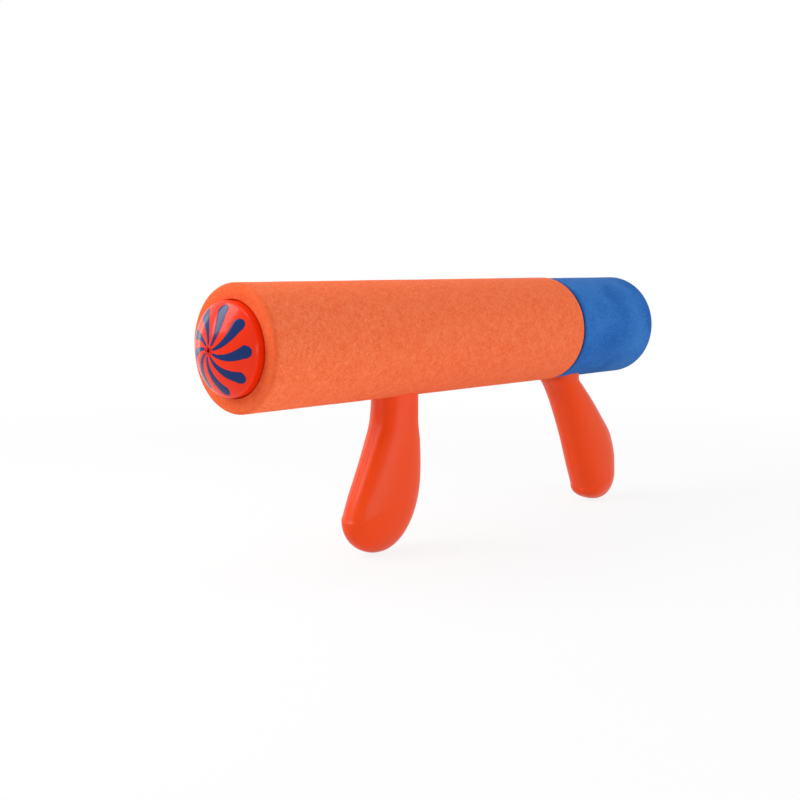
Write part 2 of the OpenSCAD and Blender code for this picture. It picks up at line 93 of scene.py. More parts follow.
# Cuts a shape out of a piece or joins it on, and leaves a plain mesh without slivers
def carve(piece, shape, operation="DIFFERENCE", sharpAngle=meshing["sharpAngle"]):
    tool = plainObject("tool", shape)
    step = piece.modifiers.new("carve", "BOOLEAN")
    step.operation = operation
    step.solver = "EXACT"
    step.object = tool
    graph = bpy.context.evaluated_depsgraph_get()
    mesh = bpy.data.meshes.new_from_object(piece.evaluated_get(graph))
    piece.modifiers.clear()
    bm = bmesh.new()
    bm.from_mesh(mesh)
    bmesh.ops.remove_doubles(bm, verts=bm.verts[:], dist=meshing["sliver"])
    bmesh.ops.dissolve_degenerate(bm, edges=bm.edges[:], dist=meshing["sliver"])
    bm.to_mesh(mesh)
    bm.free()
    spare = piece.data
    name = spare.name
    piece.data = mesh
    bpy.data.meshes.remove(spare)
    mesh.name = name
    bpy.data.meshes.remove(tool.data)  # takes the tool's object with it
    smoothFaces(piece, sharpAngle)


def vertsOf(geom):
    return [item for item in geom if isinstance(item, bmesh.types.BMVert)]


def easeEdges(bm, edges, width, segments):
    bmesh.ops.bevel(bm, geom=edges, offset=width * mm, offset_type="OFFSET", segments=segments,
                    profile=0.5, affect="EDGES", material=-1)


# A closed outline in the XZ plane, turned about the X axis
# Each corner is (x, radius, rounding) in mm
def turnedShape(corners, steps=meshing["around"], cuts=0):
    bm = bmesh.new()
    verts = [bm.verts.new((x * mm, 0, r * mm)) for x, r, _ in corners]
    bm.faces.new(verts)
    for vert, (_, _, rounding) in zip(verts, corners):
        if rounding:
            bmesh.ops.bevel(bm, geom=[vert], offset=rounding * mm, offset_type="OFFSET",
                            segments=meshing["roundSteps"], profile=0.5, affect="VERTICES",
                            material=-1)
    bmesh.ops.delete(bm, geom=bm.faces[:], context="FACES_ONLY")
    onAxis = [edge for edge in bm.edges if max(vert.co.z for vert in edge.verts) < meshing["weld"]]
    bmesh.ops.delete(bm, geom=onAxis, context="EDGES")
    if cuts:
        outside = [edge for edge in bm.edges if edge.verts[0].co.z > corners[0][1] * mm]
        longest = max(outside, key=bmesh.types.BMEdge.calc_length)
        bmesh.ops.subdivide_edges(bm, edges=[longest], cuts=cuts)
    bmesh.ops.spin(bm, geom=bm.verts[:] + bm.edges[:], cent=(0, 0, 0), axis=(1, 0, 0),
                   angle=2 * math.pi, steps=steps, use_merge=True)
    bmesh.ops.remove_doubles(bm, verts=bm.verts[:], dist=meshing["weld"])
    bmesh.ops.recalc_face_normals(bm, faces=bm.faces[:])
    return bm


# A round bar along X between two places in mm, then moved by a matrix
def roundBar(start, end, radius, place=Matrix()):
    bm = bmesh.new()
    bmesh.ops.create_cone(bm, cap_ends=True, segments=meshing["barSides"], radius1=radius * mm,
                          radius2=radius * mm, depth=(end - start) * mm)
    middle = Matrix.Translation(((start + end) / 2 * mm, 0, 0))
    along = middle @ Matrix.Rotation(math.pi / 2, 4, "Y")
    bmesh.ops.transform(bm, verts=bm.verts[:], matrix=place @ along)
    return bm


# Corners along an arc about (x, r), angles in degrees from the +X way towards larger radius
def arcPoints(x, r, radius, start, end, steps):
    angles = [math.radians(start + (end - start) * k / steps) for k in range(steps + 1)]
    return [(x + radius * math.cos(a), r + radius * math.sin(a), 0) for a in angles]


# Shader maths: a socket that adds Math nodes as it is used in an expression
class Wire:
    def __init__(self, tree, socket):
        self.tree = tree
        self.socket = socket

    def maths(self, operation, other):
        node = self.tree.nodes.new("ShaderNodeMath")
        node.operation = operation
        plug(self.tree, node.inputs[0], self)
        plug(self.tree, node.inputs[1], other)
        return Wire(self.tree, node.outputs[0])

    def __add__(self, other):
        return self.maths("ADD", other)

    def __mul__(self, other):
        return self.maths("MULTIPLY", other)

    def larger(self, other):
        return self.maths("MAXIMUM", other)

    __radd__ = __add__
    __rmul__ = __mul__


def plug(tree, place, value):
    if isinstance(value, Wire):
        tree.links.new(value.socket, place)
    else:
        place.default_value = value


# A node tree that grows by one node at a time
class NodeTree:
    def __init__(self, tree):
        self.tree = tree

    def node(self, kind, settings=None, values=None, out=0):
        node = self.tree.nodes.new(kind)
        for key, value in (settings or {}).items():
            if key == "stops":
                setStops(node.color_ramp, value)
            else:
                setattr(node, key, value)
        for key, value in (values or {}).items():
            plug(self.tree, node.inputs[key], value)
        return Wire(self.tree, node.outputs[out])

    # 1 for what the eye sees, straight or mirrored or through glass, 0 for the object's light
    def seen(self):
        camera = self.node("ShaderNodeLightPath", out="Is Camera Ray")
        glossy = self.node("ShaderNodeLightPath", out="Is Glossy Ray")
        through = self.node("ShaderNodeLightPath", out="Is Transmission Ray")
        return camera.larger(glossy).larger(through)


def setStops(ramp, stops):
    while len(ramp.elements) < len(stops):
        ramp.elements.new(1)
    for element, (place, level) in zip(ramp.elements, stops):
        element.position = place
        element.color = (level, level, level, 1)


# A material on Object coordinates, sizes in mm
class Finish(NodeTree):
    def __init__(self, name):
        self.material = bpy.data.materials.new(name)
        self.material.use_nodes = True
        super().__init__(self.material.node_tree)
        self.surface = self.tree.nodes["Principled BSDF"]
        self.place = self.node("ShaderNodeTexCoord", out="Object")

    def noise(self, size, detail=2.0, roughness=0.5, warp=0.0, place=None):
        values = {"Vector": place or self.place, "Scale": 1 / (size * mm), "Detail": detail,
                  "Roughness": roughness, "Distortion": warp}
        return self.node("ShaderNodeTexNoise", None, values, "Fac")

    def drawnOut(self, stretch):
        values = {0: self.place, 1: (1 / stretch, 1, 1)}
        return self.node("ShaderNodeVectorMath", {"operation": "MULTIPLY"}, values, "Vector")

    def cells(self, size):
        values = {"Vector": self.place, "Scale": 1 / (size * mm)}
        return self.node("ShaderNodeTexVoronoi", None, values, "Distance")

    def ramp(self, value, stops):
        return self.node("ShaderNodeValToRGB", {"stops": stops}, {"Fac": value}, "Color")

    def rise(self, value, span):
        return self.ramp(value, ((span[0], 0), (span[1], 1)))

    def fall(self, value, span):
        return self.ramp(value, ((span[0], 1), (span[1], 0)))

    def mix(self, share, first, second):
        return self.node("ShaderNodeMix", {"data_type": "RGBA"}, {0: share, 6: first, 7: second}, 2)

    def bump(self, height, depth, strength):
        values = {"Height": height, "Distance": depth * mm, "Strength": strength}
        self.set(Normal=self.node("ShaderNodeBump", None, values, "Normal"))

    def set(self, **sockets):
        for key, value in sockets.items():
            plug(self.tree, self.surface.inputs[key.replace("_", " ")], value)


# A colour as it is seen on a screen, 0 to 255, in the shader's linear values
def paint(red, green, blue):
    def linear(level):
        level /= 255
        return level / 12.92 if level <= 0.04045 else ((level + 0.055) / 1.055) ** 2.4
    return (linear(red), linear(green), linear(blue), 1)


# Closed-cell foam: fine cells, pale and dark flecks, a cloudy mottle and painted shade that darkens
# the front face
foam = {"fleckSize": 1.2, "paleFleck": (0.48, 0.72), "darkFleck": (0.26, 0.47), "darkShare": 0.8,
        "paleCloud": (0.45, 0.75), "darkCloud": (0.25, 0.55), "faceShadeDeep": 3, "faceShadeNear": 1,
        "faceShadeShare": 0.45, "cellSize": 0.9, "cellShare": 0.6, "relief": 0.25, "strength": 0.4,
        "roughness": 0.7, "roughSpread": 0.25, "specular": 0.05}
orangeFoam = {"pale": paint(247, 139, 97), "middle": paint(238, 110, 65),
              "dark": paint(223, 80, 33), "flecks": 0.8, "cloudSize": 5, "clouds": 0.16}
blueFoam = {"pale": paint(74, 136, 202), "middle": paint(43, 104, 180),
            "dark": paint(24, 76, 152), "flecks": 0.6, "cloudSize": 26, "clouds": 0.4}


def foamFinish(name, look, node):
    finish = Finish(name)
    pale, dark = look["pale"], look["dark"]
    fleck = finish.noise(foam["fleckSize"], roughness=0.6, warp=1.2)
    cloud = finish.noise(look["cloudSize"], warp=0.2)
    cell = finish.cells(foam["cellSize"])
    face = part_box(node)[1].x
    along = finish.node("ShaderNodeSeparateXYZ", None, {"Vector": finish.place}, "X")
    # Painted shade: the front face and the last mm of the side before it are mixed towards the dark
    # colour
    values = {"Value": along, "From Min": face - foam["faceShadeDeep"] * mm,
              "From Max": face - foam["faceShadeNear"] * mm}
    faceShade = finish.node("ShaderNodeMapRange", None, values)
    paleFlecks = finish.rise(fleck, foam["paleFleck"]) * look["flecks"]
    darkFlecks = finish.fall(fleck, foam["darkFleck"]) * look["flecks"] * foam["darkShare"]
    paleClouds = finish.rise(cloud, foam["paleCloud"]) * look["clouds"]
    darkClouds = finish.fall(cloud, foam["darkCloud"]) * look["clouds"]
    colour = finish.mix(paleFlecks, look["middle"], pale)
    colour = finish.mix(darkFlecks, colour, dark)
    colour = finish.mix(paleClouds, colour, pale)
    colour = finish.mix(darkClouds, colour, dark)
    colour = finish.mix(faceShade * foam["faceShadeShare"], colour, dark)
    finish.set(Base_Color=colour, Roughness=foam["roughness"] + fleck * foam["roughSpread"],
               Specular_IOR_Level=foam["specular"])
    finish.bump(cell * foam["cellShare"] + fleck, foam["relief"], foam["strength"])
    return finish.material


# Glossy moulded plastic: a slight ripple of the skin, a fine grain and faint smudges
plastic = {"toneSize": 18, "tone": 0.5, "smudgeSize": 9, "smudge": 0.08, "rippleSize": 7,
           "grainSize": 0.9, "grain": 0.05, "relief": 0.05, "strength": 0.12}
handlePlastic = {"colour": paint(235, 73, 12), "deep": paint(230, 63, 8),
                 "gloss": 0.28, "specular": 0.2}
capPlastic = {"colour": paint(236, 48, 3), "deep": paint(230, 36, 1),
              "gloss": 0.12, "specular": 0.18}
jetPlastic = {"colour": paint(200, 8, 8), "deep": paint(188, 4, 4),
              "gloss": 0.2, "specular": 0.2}
petalPlastic = {"colour": paint(1, 42, 104), "deep": paint(1, 34, 88),
                "gloss": 0.12, "specular": 0.22}


def plasticFinish(name, look):
    finish = Finish(name)
    tone = finish.noise(plastic["toneSize"], detail=3.0)
    smudge = finish.noise(plastic["smudgeSize"], detail=4.0, roughness=0.6)
    ripple = finish.noise(plastic["rippleSize"], detail=1.0)
    grain = finish.noise(plastic["grainSize"])
    finish.set(Base_Color=finish.mix(tone * plastic["tone"], look["colour"], look["deep"]),
               Roughness=look["gloss"] + smudge * plastic["smudge"] + grain * plastic["grain"],
               Specular_IOR_Level=look["specular"])
    finish.bump(ripple + grain * plastic["grain"], plastic["relief"], plastic["strength"])
    return finish.material


# Satin plastic of the inner pieces: a fine moulded grain and rubbed streaks along the barrel
whitePlastic = {"colour": paint(224, 223, 216), "deep": paint(208, 207, 199),
                "rubbed": paint(184, 182, 173), "toneSize": 12, "tone": 0.7, "grainSize": 0.7,
                "streakSize": 0.8, "stretch": 60, "streak": (0.5, 0.8), "streakShare": 0.35,
                "roughness": 0.34, "grainRough": 0.12, "streakRough": 0.16, "specular": 0.4,
                "grainRelief": 0.5, "relief": 0.03, "strength": 0.2}


def satinFinish(name, look):
    finish = Finish(name)
    tone = finish.noise(look["toneSize"], detail=3.0)
    grain = finish.noise(look["grainSize"])
    along = finish.drawnOut(look["stretch"])
    streak = finish.noise(look["streakSize"], roughness=0.6, warp=0.2, place=along)
    tint = finish.mix(tone * look["tone"], look["colour"], look["deep"])
    rubbed = finish.rise(streak, look["streak"]) * look["streakShare"]
    tint = finish.mix(rubbed, tint, look["rubbed"])
    rough = look["roughness"] + grain * look["grainRough"] + streak * look["streakRough"]
    finish.set(Base_Color=tint, Roughness=rough, Specular_IOR_Level=look["specular"])
    finish.bump(grain * look["grainRelief"] + streak, look["relief"], look["strength"])
    return finish.material


# Rubber with a grey bloom, and steel with fine scuffs
blackRubber = {"colour": paint(30, 30, 31), "bloom": paint(48, 48, 50), "bloomSize": 6,
               "bloomShare": 0.5, "grainSize": 0.5, "roughness": 0.6, "roughSpread": 0.25,
               "specular": 0.4, "relief": 0.04, "strength": 0.3}
screwSteel = {"colour": paint(196, 198, 200), "deep": paint(160, 163, 167), "toneSize": 3,
              "scuffSize": 0.6, "roughness": 0.25, "roughSpread": 0.2, "relief": 0.02,
              "strength": 0.2}


def rubberFinish(name, look):
    finish = Finish(name)
    grain = finish.noise(look["grainSize"], detail=3.0)
    bloom = finish.noise(look["bloomSize"], detail=3.0)
    finish.set(Base_Color=finish.mix(bloom * look["bloomShare"], look["colour"], look["bloom"]),
               Roughness=look["roughness"] + grain * look["roughSpread"],
               Specular_IOR_Level=look["specular"])
    finish.bump(grain, look["relief"], look["strength"])
    return finish.material


def steelFinish(name, look):
    finish = Finish(name)
    scuff = finish.noise(look["scuffSize"], detail=3.0, roughness=0.7)
    tone = finish.noise(look["toneSize"])
    finish.set(Base_Color=finish.mix(tone, look["colour"], look["deep"]), Metallic=1.0,
               Roughness=look["roughness"] + scuff * look["roughSpread"])
    finish.bump(scuff, look["relief"], look["strength"])
    return finish.material


finishes = {
    "orange_foam": foamFinish("orangeFoam", orangeFoam, "sleeve_foam"),
    "blue_foam": foamFinish("blueFoam", blueFoam, "grip_foam"),
    "handle_plastic": plasticFinish("handlePlastic", handlePlastic),
    "cap_plastic": plasticFinish("capPlastic", capPlastic),
    "jet_plastic": plasticFinish("jetPlastic", jetPlastic),
    "petal_plastic": plasticFinish("petalPlastic", petalPlastic),
    "white_plastic": satinFinish("whitePlastic", whitePlastic),
    "black_rubber": rubberFinish("blackRubber", blackRubber),
    "screw_steel": steelFinish("screwSteel", screwSteel),
}
for row in frame["record"]["subparts"]:
    cadMesh = frame["nodes"][row["node"]].data
    cadMesh.materials.clear()
    cadMesh.materials.append(finishes[row["material_slot"]])
print("finishes:", len(finishes))


# Places that several pieces share, from the frame: corners of boxes in metres, radii in mm
sleeveLow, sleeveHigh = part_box("sleeve_foam")
gripLow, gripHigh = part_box("grip_foam")
tubeLow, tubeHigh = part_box("barrel_tube")
capLow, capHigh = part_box("nozzle_cap")
guideLow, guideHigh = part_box("rear_guide")
coreLow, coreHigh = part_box("grip_core")
rodLow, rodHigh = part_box("plunger_rod")
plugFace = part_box("grip_end_cap")[0].x / mm
handleDrop = -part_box("front_handle_left")[0].z / mm
sleeveR = sleeveHigh.z / mm
gripR = gripHigh.z / mm
tubeR = tubeHigh.z / mm
capR = capHigh.z / mm
flangeR = guideHigh.z / mm
rodHalf = rodHigh.z / mm


# Handles: a tube of rounded ovals that leans and swells, closed by a rounded end with a lip
# Each row is (share of the drop, front edge, rear edge), edges in shares of the depth
# stemX lies a number of mm behind the foam's front face
handleMould = {"width": 25, "wall": 2.4, "ovalPower": 2.4, "ledge": 0.6, "stemTop": tubeR + 3.5,
               "seam": 0.08, "seamSteps": 2, "around": 72, "down": 44, "end": 16}
frontHandle = {
    "rows": [(-0.10, 0.265, -0.265), (0.01, 0.265, -0.265), (0.147, 0.295, -0.27),
             (0.312, 0.42, -0.325), (0.477, 0.565, -0.345), (0.628, 0.705, -0.345),
             (0.78, 0.82, -0.345)],
    "depth": 46, "toe": 20, "heel": 46, "pole": 0.45, "lip": 0.6,
    "stemX": sleeveHigh.x / mm - 112, "foamR": sleeveR,
}
rearHandle = {
    "rows": [(-0.08, 0.25, -0.25), (0.012, 0.25, -0.25), (0.066, 0.175, -0.355),
             (0.16, 0.07, -0.57), (0.323, -0.075, -0.90), (0.499, -0.22, -1.20),
             (0.689, -0.37, -1.315), (0.905, -0.575, -1.315)],
    "depth": 43, "toe": 9, "heel": 20, "pole": 0.6, "lip": 0.2,
    "stemX": gripHigh.x / mm - 16.5, "foamR": gripR,
}
handleScrew = {"shares": (0.19, 0.68), "headR": 3.0, "headSeat": 7.6, "holeR": 1.6, "tip": 9.5,
               "past": 1, "bossR": 4.6, "bossStarts": (6.1, 0.0), "bossBack": 11.3}


# Smooth curve through the rows at u, level where neighbouring rises differ in sign
def rowAt(rows, u, column):
    def rise(k):
        return (rows[k + 1][column] - rows[k][column]) / (rows[k + 1][0] - rows[k][0])

    def slope(k):
        if k == 0:
            return rise(0)
        if k == len(rows) - 1:
            return rise(k - 1)
        before, after = rise(k - 1), rise(k)
        return 2 * before * after / (before + after) if before * after > 0 else 0

    k = 0
    while k < len(rows) - 2 and u > rows[k + 1][0]:
        k += 1
    h = rows[k + 1][0] - rows[k][0]
    s = min(max((u - rows[k][0]) / h, 0), 1)
    ease = s * s * (3 - 2 * s)
    return (rows[k][column] * (1 - ease) + rows[k + 1][column] * ease
            + h * slope(k) * s * (1 - s) ** 2 - h * slope(k + 1) * s * s * (1 - s))


def edgesAt(handle, u):
    depth, rows = handle["depth"], handle["rows"]
    return depth * rowAt(rows, u, 1), depth * rowAt(rows, u, 2)


def oval(v):
    return math.copysign(abs(v) ** (2 / handleMould["ovalPower"]), v)


# A point of the handle's skin, with the turn in radians from the front
# and the way from 0 at the stem's top to 1 at the end's edge
def skinPoint(handle, turn, way, grow=0):
    c, s = math.cos(turn), math.sin(turn)
    endHeight = (handle["toe"] * (1 + c) + handle["heel"] * (1 - c)) / 2
    z = handleMould["stemTop"] + (handleDrop - endHeight - handleMould["stemTop"]) * way
    front, rear = edgesAt(handle, (z - handle["foamR"]) / (handleDrop - handle["foamR"]))
    x = (front + rear) / 2 + ((front - rear) / 2 + grow) * oval(c)
    return Vector((handle["stemX"] + x, (handleMould["width"] / 2 + grow) * oval(s), -z)) * mm


# A point of the rounded end, angle from 0 at its edge to a right angle at its pole
def endPoint(handle, turn, angle, grow=0):
    edge = skinPoint(handle, turn, 1, grow)
    lip = handle["lip"] if grow == 0 else 0
    edge += Vector((lip * max(math.cos(turn), 0), 0, -handleMould["ledge"])) * mm
    pole = endPole(handle, grow)
    across, down = math.cos(angle), math.sin(angle)
    x, z = pole.x + (edge.x - pole.x) * across, edge.z + (pole.z - edge.z) * down
    return Vector((x, edge.y * across, z))


def endPole(handle, grow=0):
    front, rear = skinPoint(handle, 0, 1, grow).x, skinPoint(handle, math.pi, 1, grow).x
    return Vector((front + (rear - front) * handle["pole"], 0, -(handleDrop + grow) * mm))


# The whole handle as one wall: its top ring is extruded ring by ring to a pole, outside and inside
def handleWall(handle):
    bm = bmesh.new()
    turn = bm.verts.layers.float.new("turn")
    ring = bmesh.ops.create_circle(bm, segments=handleMould["around"], radius=1)["verts"]
    for vert in ring:
        vert[turn] = math.atan2(vert.co.y, vert.co.x)
        vert.co = skinPoint(handle, vert[turn], 0)
    top = bm.edges[:]
    closeSkin(bm, turn, top, handle, 0, 1)
    closeSkin(bm, turn, top, handle, -handleMould["wall"], 0)
    bmesh.ops.recalc_face_normals(bm, faces=bm.faces[:])
    return bm


def closeSkin(bm, turn, edges, handle, grow, start):
    down, end = handleMould["down"], handleMould["end"]
    steps = [(skinPoint, k / down) for k in range(start, down + 1)]
    steps += [(endPoint, math.pi / 2 * k / end) for k in range(end)]
    for pointAt, way in steps:
        grown = bmesh.ops.extrude_edge_only(bm, edges=edges)["geom"]
        edges = [item for item in grown if isinstance(item, bmesh.types.BMEdge)]
        for vert in vertsOf(grown):
            vert.co = pointAt(handle, vert[turn], way, grow)
    tip = bmesh.ops.extrude_edge_only(bm, edges=edges)["geom"]
    bmesh.ops.pointmerge(bm, verts=vertsOf(tip), merge_co=endPole(handle, grow))


# One half of the wall, with its seam face filled and its seam edges eased
def handleHalf(wall, side):
    bm = wall.copy()
    bmesh.ops.bisect_plane(bm, geom=bm.verts[:] + bm.edges[:] + bm.faces[:], dist=meshing["weld"],
                           plane_co=(0, 0, 0), plane_no=(0, -side, 0), clear_outer=True)
    rim = [edge for edge in bm.edges if edge.is_boundary]
    seam = bmesh.ops.holes_fill(bm, edges=rim, sides=0)["faces"]
    bmesh.ops.recalc_face_normals(bm, faces=bm.faces[:])
    edges = {edge for face in seam for edge in face.edges}
    easeEdges(bm, list(edges), handleMould["seam"], handleMould["seamSteps"])
    return bm


# A round bar along Y at one of the handle's screws, between two places in mm
def screwBar(handle, share, start, end, radius):
    front, rear = edgesAt(handle, share)
    drop = handle["foamR"] + (handleDrop - handle["foamR"]) * share
    place = Matrix.Translation(Vector((handle["stemX"] + (front + rear) / 2, 0, -drop)) * mm)
    return roundBar(start, end, radius, place @ Matrix.Rotation(math.pi / 2, 4, "Z"))


def makeHandle(handle, end, body):
    wall = handleWall(handle)
    over, past = handleMould["width"], handleScrew["past"]
    seat, tip, holeR = handleScrew["headSeat"], handleScrew["tip"], handleScrew["holeR"]
    for side, word in ((1, "left"), (-1, "right")):
        node = end + "_handle_" + word
        piece = newPiece(node + "_shell", handleHalf(wall, side), body, "handle_plastic", node)
        for share, start in zip(handleScrew["shares"], handleScrew["bossStarts"]):
            span = sorted((side * start, side * handleScrew["bossBack"]))
            carve(piece, screwBar(handle, share, *span, handleScrew["bossR"]), "UNION")
        for share in handleScrew["shares"]:
            if side > 0:
                carve(piece, screwBar(handle, share, -past, tip, holeR))
            else:
                carve(piece, screwBar(handle, share, -over, past, holeR))
                carve(piece, screwBar(handle, share, -over, -seat, handleScrew["headR"]))
    wall.free()
    print(end, "handle made")


makeHandle(frontHandle, "front", "barrel")
makeHandle(rearHandle, "rear", "plunger")


# Foam: a turned roll with soft rims, a slightly uneven skin and a hole for the handle's stem
foamRoll = {"fit": 0.3, "bracketWall": 3, "bracketHalf": 12, "plate": 3.3, "cuts": 60,
            "stemCut": 20, "skinFrom": 0.98, "wobble": 0.18, "wobbleSize": 24, "seed": 7.0}
sleeveRims = {"frontBore": 0.6, "front": 2.5, "rear": 1, "rearBore": 0.4}
gripRims = {"frontBore": 0.4, "front": 0.3, "rear": 6, "rearBore": 0.6}
foamFit = foamRoll["fit"]
foamBore = tubeR + foamFit
bracketBore = tubeR + foamRoll["bracketWall"] + foamFit
flangeBore = flangeR + foamFit
capBore = capR + foamFit


def makeRoll(name, node, body, slot, handle, corners):
    bm = turnedShape(corners, cuts=foamRoll["cuts"])
    shift = Vector((foamRoll["seed"], 0, 0))
    for vert in bm.verts:
        radial = Vector((0, vert.co.y, vert.co.z))
        if radial.length > handle["foamR"] * mm * foamRoll["skinFrom"]:
            wave = noise.noise(vert.co / (foamRoll["wobbleSize"] * mm) + shift)
            vert.co -= radial.normalized() * foamRoll["wobble"] * mm * (0.5 + 0.5 * wave)
    roll = newPiece(name, bm, body, slot, node)
    carve(roll, stemHole(handle))
    print(name, "made")


# The stem's oval, grown by the fit and drawn down through the foam
def stemHole(handle):
    bm = bmesh.new()
    bmesh.ops.create_circle(bm, cap_ends=True, segments=handleMould["around"], radius=1)
    for vert in bm.verts:
        vert.co = skinPoint(handle, math.atan2(vert.co.y, vert.co.x), 0, foamFit)
        vert.co.z = -tubeR * mm
    grown = bmesh.ops.extrude_face_region(bm, geom=bm.faces[:])["geom"]
    bmesh.ops.translate(bm, verts=vertsOf(grown), vec=(0, 0, -foamRoll["stemCut"] * mm))
    bmesh.ops.recalc_face_normals(bm, faces=bm.faces[:])
    return bm


# Corners of the pocket in the foam's bore that holds a handle's bracket, rear end first
def pocket(handle):
    reach = foamRoll["bracketHalf"] + foamFit
    rear, front = handle["stemX"] - reach, handle["stemX"] + reach
    return [(rear, foamBore, 0), (rear, bracketBore, 0),
            (front, bracketBore, 0), (front, foamBore, 0)]


makeRoll("sleeve_foam_roll", "sleeve_foam", "barrel", "orange_foam", frontHandle, [
    (sleeveHigh.x / mm, capBore, sleeveRims["frontBore"]),
    (sleeveHigh.x / mm, sleeveR, sleeveRims["front"]),
    (sleeveLow.x / mm, sleeveR, sleeveRims["rear"]),
    (sleeveLow.x / mm, flangeBore, sleeveRims["rearBore"]),
    (tubeLow.x / mm + foamFit, flangeBore, 0), (tubeLow.x / mm + foamFit, foamBore, 0),
    *pocket(frontHandle),
    (capLow.x / mm - foamFit, foamBore, 0), (capLow.x / mm - foamFit, capBore, 0),
])
makeRoll("grip_foam_roll", "grip_foam", "plunger", "blue_foam", rearHandle, [
    (gripHigh.x / mm, flangeBore, gripRims["frontBore"]),
    (gripHigh.x / mm, gripR, gripRims["front"]),
    (gripLow.x / mm, gripR, gripRims["rear"]),
    (gripLow.x / mm, flangeBore, gripRims["rearBore"]),
    (coreLow.x / mm + foamFit, flangeBore, 0), (coreLow.x / mm + foamFit, foamBore, 0),
    *pocket(rearHandle),
    (coreHigh.x / mm - foamRoll["plate"], foamBore, 0),
    (coreHigh.x / mm - foamRoll["plate"], flangeBore, 0),
])


# Nozzle: a dome with a rounded shoulder on a short skirt, nine inlaid petals and the jet
nozzle = {"rise": 10.3, "shoulder": 3, "seat": -11.0, "wall": 2.4, "boreR": tubeR - 2.5,
          "fit": 0.1, "around": 180, "domeSteps": 40, "shoulderSteps": 8, "innerSteps": 16,
          "sharpAngle": 25}
jet = {"radius": 2.3, "bore": 1.0, "length": 8, "collarR": 5.5, "collar": 1.5, "around": 64,
       "mouthEase": 0.25, "rimEase": 0.35, "collarEase": 0.2, "endEase": 0.3}
petal = {"count": 9, "width": 6.4, "margin": 0.8, "turn": 30, "depth": 0.8, "gap": 0.06,
         "above": 1.0, "rootGap": 0.5, "rootWidth": 1.1, "power": 1.2, "long": 22, "tip": 10,
         "across": 8, "weld": 1e-6, "rimAngle": 60, "edge": 0.12, "edgeSteps": 2}
domeR = (capR ** 2 + nozzle["rise"] ** 2) / (2 * nozzle["rise"])
innerDomeR = domeR - nozzle["wall"]
shoulderR = capR - nozzle["shoulder"]
shoulderX = math.sqrt((domeR - nozzle["shoulder"]) ** 2 - shoulderR ** 2) - domeR
touchR = shoulderR * domeR / (domeR - nozzle["shoulder"])  # where the shoulder meets the dome


def makeCap():
    touchAngle = math.degrees(math.asin(touchR / domeR))
    holeR = jet["radius"] + nozzle["fit"]
    holeAngle = math.degrees(math.asin(holeR / domeR))
    innerHole = math.degrees(math.asin(holeR / innerDomeR))
    innerEdge = math.degrees(math.asin(nozzle["boreR"] / innerDomeR))
    socketR = tubeR + nozzle["fit"]
    corners = arcPoints(-domeR, 0, domeR, holeAngle, touchAngle, nozzle["domeSteps"])
    corners += arcPoints(shoulderX, shoulderR, nozzle["shoulder"], touchAngle, 90,
                         nozzle["shoulderSteps"])[1:]
    corners += [(capLow.x / mm, capR, 0), (capLow.x / mm, socketR, 0),
                (nozzle["seat"], socketR, 0), (nozzle["seat"], nozzle["boreR"], 0)]
    corners += arcPoints(-domeR, 0, innerDomeR, innerEdge, innerHole, nozzle["innerSteps"])
    bm = turnedShape(corners, nozzle["around"])
    cap = newPiece("nozzle_dome", bm, "barrel", "cap_plastic", "nozzle_cap")
    beds = petalSet(petal["gap"], petal["above"], petal["depth"] + petal["gap"])
    carve(cap, beds, sharpAngle=nozzle["sharpAngle"])


# A petal is a grid bent to its outline and onto the dome, thickened, and copied round the jet
def petalSet(grow, above, below):
    bm = bmesh.new()
    steps = petal["long"] + petal["tip"]
    bmesh.ops.create_grid(bm, x_segments=steps, y_segments=petal["across"], size=1)
    half = petal["width"] / 2
    root = jet["radius"] + petal["rootGap"]
    knee = touchR - petal["margin"] - half
    for vert in bm.verts:
        step = (vert.co.x + 1) / 2 * steps
        across = vert.co.y
        if step <= petal["long"]:
            s = step / petal["long"]
            angle = -math.radians(petal["turn"]) * (1 - s)
            r = root + (knee - root) * s
            widening = (petal["width"] - petal["rootWidth"]) * s ** petal["power"]
            side = (petal["rootWidth"] + widening) / 2 + grow
        else:
            bend = math.pi / 2 * (step - petal["long"]) / petal["tip"]
            angle = 0
            r = knee + (half + grow) * math.sin(bend)
            side = (half + grow) * math.cos(bend)
        y = r * math.cos(angle) - across * side * math.sin(angle)
        z = r * math.sin(angle) + across * side * math.cos(angle)
        vert.co = onDome(y, z, above)
    bmesh.ops.remove_doubles(bm, verts=bm.verts[:], dist=petal["weld"])
    grown = bmesh.ops.extrude_face_region(bm, geom=bm.faces[:])["geom"]
    for vert in vertsOf(grown):
        vert.co = onDome(vert.co.y / mm, vert.co.z / mm, -below)
    bmesh.ops.recalc_face_normals(bm, faces=bm.faces[:])
    first = bm.verts[:] + bm.edges[:] + bm.faces[:]
    for k in range(1, petal["count"]):
        copy = bmesh.ops.duplicate(bm, geom=first)["geom"]
        bmesh.ops.rotate(bm, verts=vertsOf(copy), cent=(0, 0, 0),
                         matrix=Matrix.Rotation(2 * math.pi * k / petal["count"], 3, "X"))
    return bm


def onDome(y, z, above):
    return Vector((math.sqrt((domeR + above) ** 2 - y * y - z * z) - domeR, y, z)) * mm


def isOnDome(place):
    return (place - Vector((-domeR * mm, 0, 0))).length > (domeR - petal["depth"] / 2) * mm


def makePetals():
    bm = petalSet(0, 0, petal["depth"])
    sharp = math.radians(petal["rimAngle"])
    rims = [edge for edge in bm.edges if edge.calc_face_angle(0) > sharp]
    front = [edge for edge in rims if all(isOnDome(vert.co) for vert in edge.verts)]
    easeEdges(bm, front, petal["edge"], petal["edgeSteps"])
    newPiece("nozzle_petal_inlays", bm, "barrel", "petal_plastic", "nozzle_petals")


